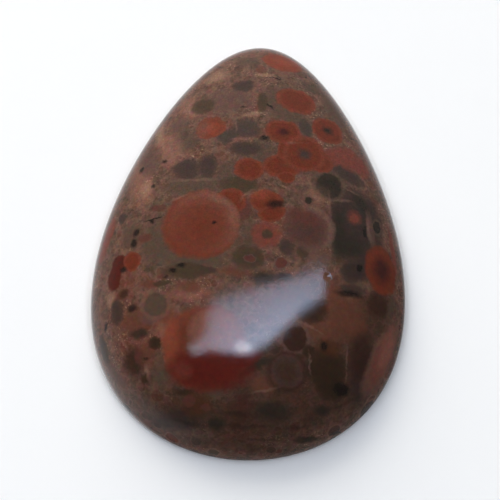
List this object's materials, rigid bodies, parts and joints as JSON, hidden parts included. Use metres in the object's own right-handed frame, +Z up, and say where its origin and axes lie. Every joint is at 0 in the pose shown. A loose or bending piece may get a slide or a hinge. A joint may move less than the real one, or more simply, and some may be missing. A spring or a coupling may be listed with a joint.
{
  "type": "poppy jasper cabochon",
  "caption": "Polished teardrop cabochon of orbicular jasper with a high rounded dome, a bevelled girdle and a flat back, for setting in a bezel or display.",
  "frame": {"origin": "on the flat back, in the middle of the stone's length and width", "axes": "+Z up out of the dome, square to the flat back; +Y along the stone's length towards the teardrop's tip; +X across its width"},
  "size_m": [0.03, 0.042, 0.008],
  "materials": {
    "polished_jasper": "brick red and brown orbs in olive and pink-brown matrix, polished to a gloss"
  },
  "bodies": {
    "root": {"cabochon": "polished_jasper"}
  },
  "joints": []
}
